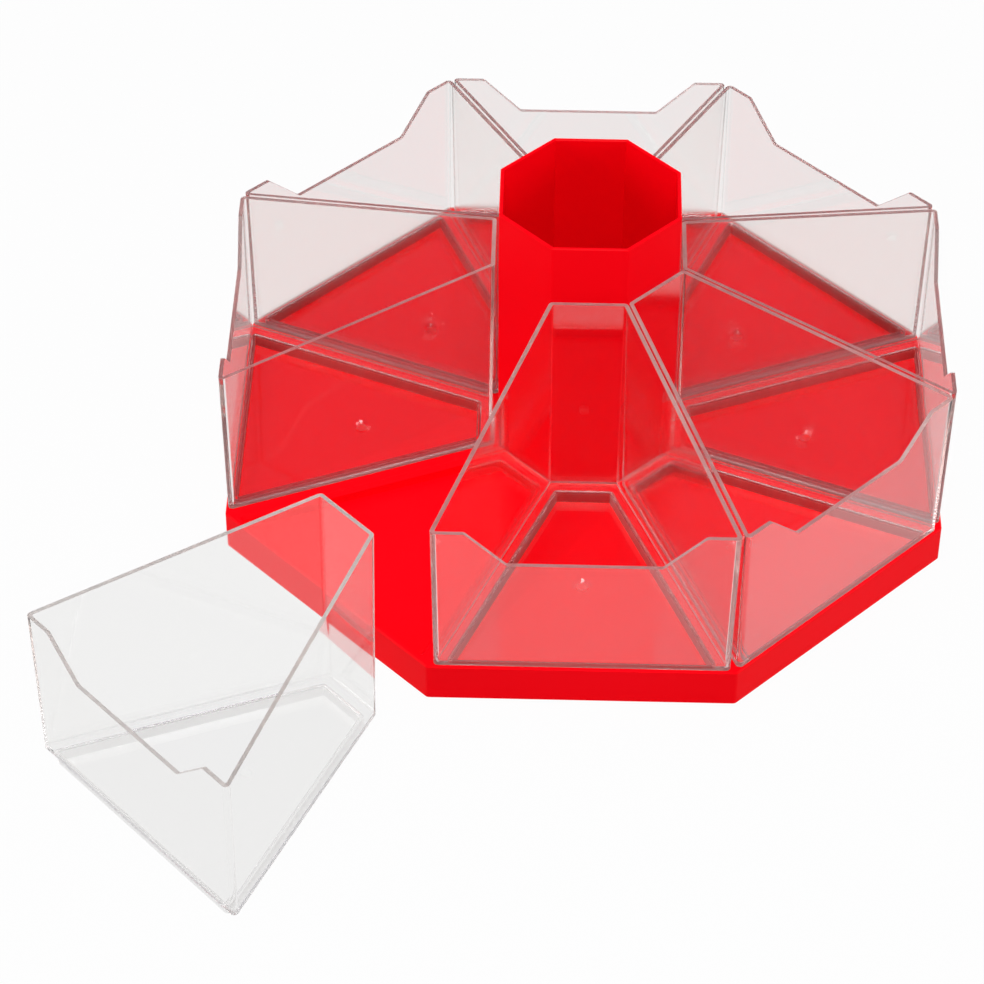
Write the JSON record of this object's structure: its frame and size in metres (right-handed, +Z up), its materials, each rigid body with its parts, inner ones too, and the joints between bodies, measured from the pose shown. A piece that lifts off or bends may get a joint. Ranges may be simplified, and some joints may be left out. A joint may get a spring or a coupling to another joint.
{
  "type": "classroom caddy",
  "caption": "Octagonal desk tray with clear lift-out wedge bins set round a tall pencil cup, for sharing art supplies at a table; a bin stands lifted out beside its seat.",
  "frame": {"origin": "centre of the tray's underside, on the octagon's axis and on the table plane", "axes": "+Z up along the cup's axis; -Y towards the front seat; +X to the right seen from the front"},
  "size_m": [0.4718, 0.5507, 0.1847],
  "materials": {
    "red_plastic": "bright red moulded plastic with a satin gloss",
    "clear_plastic": "clear, colourless moulded plastic, glossy inside and out"
  },
  "bodies": {
    "tray": {"base_tray": "red_plastic"},
    "cup": {"pencil_cup": "red_plastic"},
    "bin_front": {"bin_front": "clear_plastic"},
    "bin_front_right": {"bin_front_right": "clear_plastic"},
    "bin_right": {"bin_right": "clear_plastic"},
    "bin_back_right": {"bin_back_right": "clear_plastic"},
    "bin_back": {"bin_back": "clear_plastic"},
    "bin_back_left": {"bin_back_left": "clear_plastic"},
    "bin_left": {"bin_left": "clear_plastic"},
    "bin_front_left": {"bin_front_left": "clear_plastic"}
  },
  "joints": [
    {"name": "lift_cup", "type": "slide", "parent": "tray", "child": "cup", "axis": [0, 0, 1], "range_m": [0, 0.18]},
    {"name": "lift_bin_front", "type": "slide", "parent": "tray", "child": "bin_front", "axis": [0, 0, 1], "range_m": [0, 0.17]},
    {"name": "lift_bin_front_right", "type": "slide", "parent": "tray", "child": "bin_front_right", "axis": [0, 0, 1], "range_m": [0, 0.17]},
    {"name": "lift_bin_right", "type": "slide", "parent": "tray", "child": "bin_right", "axis": [0, 0, 1], "range_m": [0, 0.17]},
    {"name": "lift_bin_back_right", "type": "slide", "parent": "tray", "child": "bin_back_right", "axis": [0, 0, 1], "range_m": [0, 0.17]},
    {"name": "lift_bin_back", "type": "slide", "parent": "tray", "child": "bin_back", "axis": [0, 0, 1], "range_m": [0, 0.17]},
    {"name": "lift_bin_back_left", "type": "slide", "parent": "tray", "child": "bin_back_left", "axis": [0, 0, 1], "range_m": [0, 0.17]},
    {"name": "lift_bin_left", "type": "slide", "parent": "tray", "child": "bin_left", "axis": [0, 0, 1], "range_m": [0, 0.17]},
    {"name": "lift_bin_front_left", "type": "slide", "parent": "tray", "child": "bin_front_left", "axis": [0, 0, 1], "range_m": [0, 0.17]}
  ]
}
